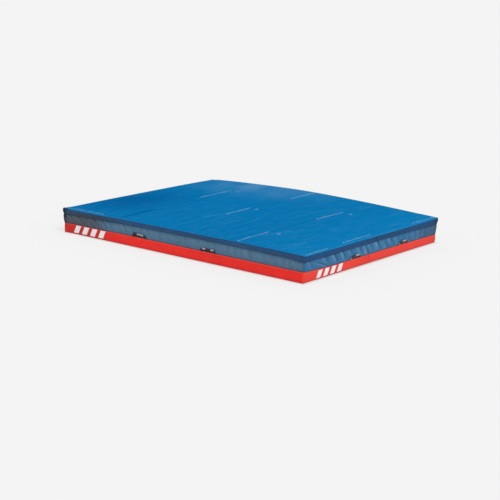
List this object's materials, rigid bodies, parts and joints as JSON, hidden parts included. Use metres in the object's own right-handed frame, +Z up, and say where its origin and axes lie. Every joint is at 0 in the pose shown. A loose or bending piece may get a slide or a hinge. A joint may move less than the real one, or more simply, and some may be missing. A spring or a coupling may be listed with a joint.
{
  "type": "crash landing mat",
  "caption": "Large rectangular foam landing mat with a vented mesh band, a red skirt, an overhanging wear pad and webbing carry handles.",
  "frame": {"origin": "on the floor under the middle of the mat", "axes": "+X along the long side to the right, +Y to the back, +Z up"},
  "size_m": [5, 4, 0.5099],
  "materials": {
    "core_foam": "open-cell foam",
    "soft_foam": "open-cell foam",
    "grip_sheet": "dimpled matt",
    "red_cover": "coated cloth, satin",
    "mesh": "knitted spacer mesh",
    "binding": "woven tape",
    "hook_loop": "hook and loop pile",
    "blue_top": "coated cloth, satin",
    "navy_cover": "coated cloth, satin",
    "patch": "woven patch",
    "webbing": "woven webbing",
    "white_print": "printed film",
    "zip_cloth": "woven tape",
    "zip_plastic": "moulded",
    "zip_metal": "painted"
  },
  "bodies": {
    "mat": {"base_foam_front_left": "core_foam", "base_foam_front_right": "core_foam", "base_foam_back_left": "core_foam", "base_foam_back_right": "core_foam", "vented_foam_front_left": "soft_foam", "vented_foam_front_right": "soft_foam", "vented_foam_back_left": "soft_foam", "vented_foam_back_right": "soft_foam", "underside_sheet": "grip_sheet", "base_skirt_front": "red_cover", "base_skirt_rear": "red_cover", "mesh_band_left": "mesh", "mesh_band_right": "mesh", "seam_binding": "binding", "core_lid_sheet": "mesh", "loop_strips": "hook_loop", "hook_strips": "hook_loop", "pad_underside": "mesh", "pad_foam": "soft_foam", "top_sheet": "blue_top", "side_band_front": "navy_cover", "side_band_rear": "navy_cover", "handle_anchor_tabs": "webbing", "skirt_bars_front": "white_print", "skirt_bars_right": "white_print", "zip_tape_upper": "zip_cloth", "zip_tape_lower": "zip_cloth", "zip_chain": "zip_plastic", "zip_end_stops": "zip_metal"},
    "handle_front_left": {"handle_front_left": "webbing", "handle_patch_front_left": "patch"},
    "handle_front_right": {"handle_front_right": "webbing", "handle_patch_front_right": "patch"},
    "handle_right_front": {"handle_right_front": "webbing", "handle_patch_right_front": "patch"},
    "handle_right_back": {"handle_right_back": "webbing", "handle_patch_right_back": "patch"},
    "handle_back_right": {"handle_back_right": "webbing", "handle_patch_back_right": "patch"},
    "handle_back_left": {"handle_back_left": "webbing", "handle_patch_back_left": "patch"},
    "handle_left_back": {"handle_left_back": "webbing", "handle_patch_left_back": "patch"},
    "handle_left_front": {"handle_left_front": "webbing", "handle_patch_left_front": "patch"},
    "zip_slider": {"zip_slider": "zip_metal"},
    "zip_pull": {"zip_pull": "zip_metal"}
  },
  "joints": [
    {"name": "handle_front_left_fold", "type": "hinge", "parent": "mat", "child": "handle_front_left", "pos_m": [-0.789, -1.988, 0.182], "axis": [1, 0, 0], "range_deg": [0, 175]},
    {"name": "handle_front_right_fold", "type": "hinge", "parent": "mat", "child": "handle_front_right", "pos_m": [0.651, -1.988, 0.182], "axis": [1, 0, 0], "range_deg": [0, 175]},
    {"name": "handle_right_front_fold", "type": "hinge", "parent": "mat", "child": "handle_right_front", "pos_m": [2.488, -0.573, 0.157], "axis": [0, 1, 0], "range_deg": [0, 175]},
    {"name": "handle_right_back_fold", "type": "hinge", "parent": "mat", "child": "handle_right_back", "pos_m": [2.488, 0.893, 0.157], "axis": [0, 1, 0], "range_deg": [0, 175]},
    {"name": "handle_back_right_fold", "type": "hinge", "parent": "mat", "child": "handle_back_right", "pos_m": [0.789, 1.988, 0.182], "axis": [-1, 0, 0], "range_deg": [0, 175]},
    {"name": "handle_back_left_fold", "type": "hinge", "parent": "mat", "child": "handle_back_left", "pos_m": [-0.651, 1.988, 0.182], "axis": [-1, 0, 0], "range_deg": [0, 175]},
    {"name": "handle_left_back_fold", "type": "hinge", "parent": "mat", "child": "handle_left_back", "pos_m": [-2.488, 0.573, 0.157], "axis": [0, -1, 0], "range_deg": [0, 175]},
    {"name": "handle_left_front_fold", "type": "hinge", "parent": "mat", "child": "handle_left_front", "pos_m": [-2.488, -0.893, 0.157], "axis": [0, -1, 0], "range_deg": [0, 175]},
    {"name": "zip_slide", "type": "slide", "parent": "mat", "child": "zip_slider", "axis": [1, 0, 0], "range_m": [0, 4.5728]},
    {"name": "zip_pull_turn", "type": "hinge", "parent": "zip_slider", "child": "zip_pull", "pos_m": [-2.2864, 1.9908, 0.095], "axis": [0, 0, 1], "range_deg": [0, 170]}
  ]
}
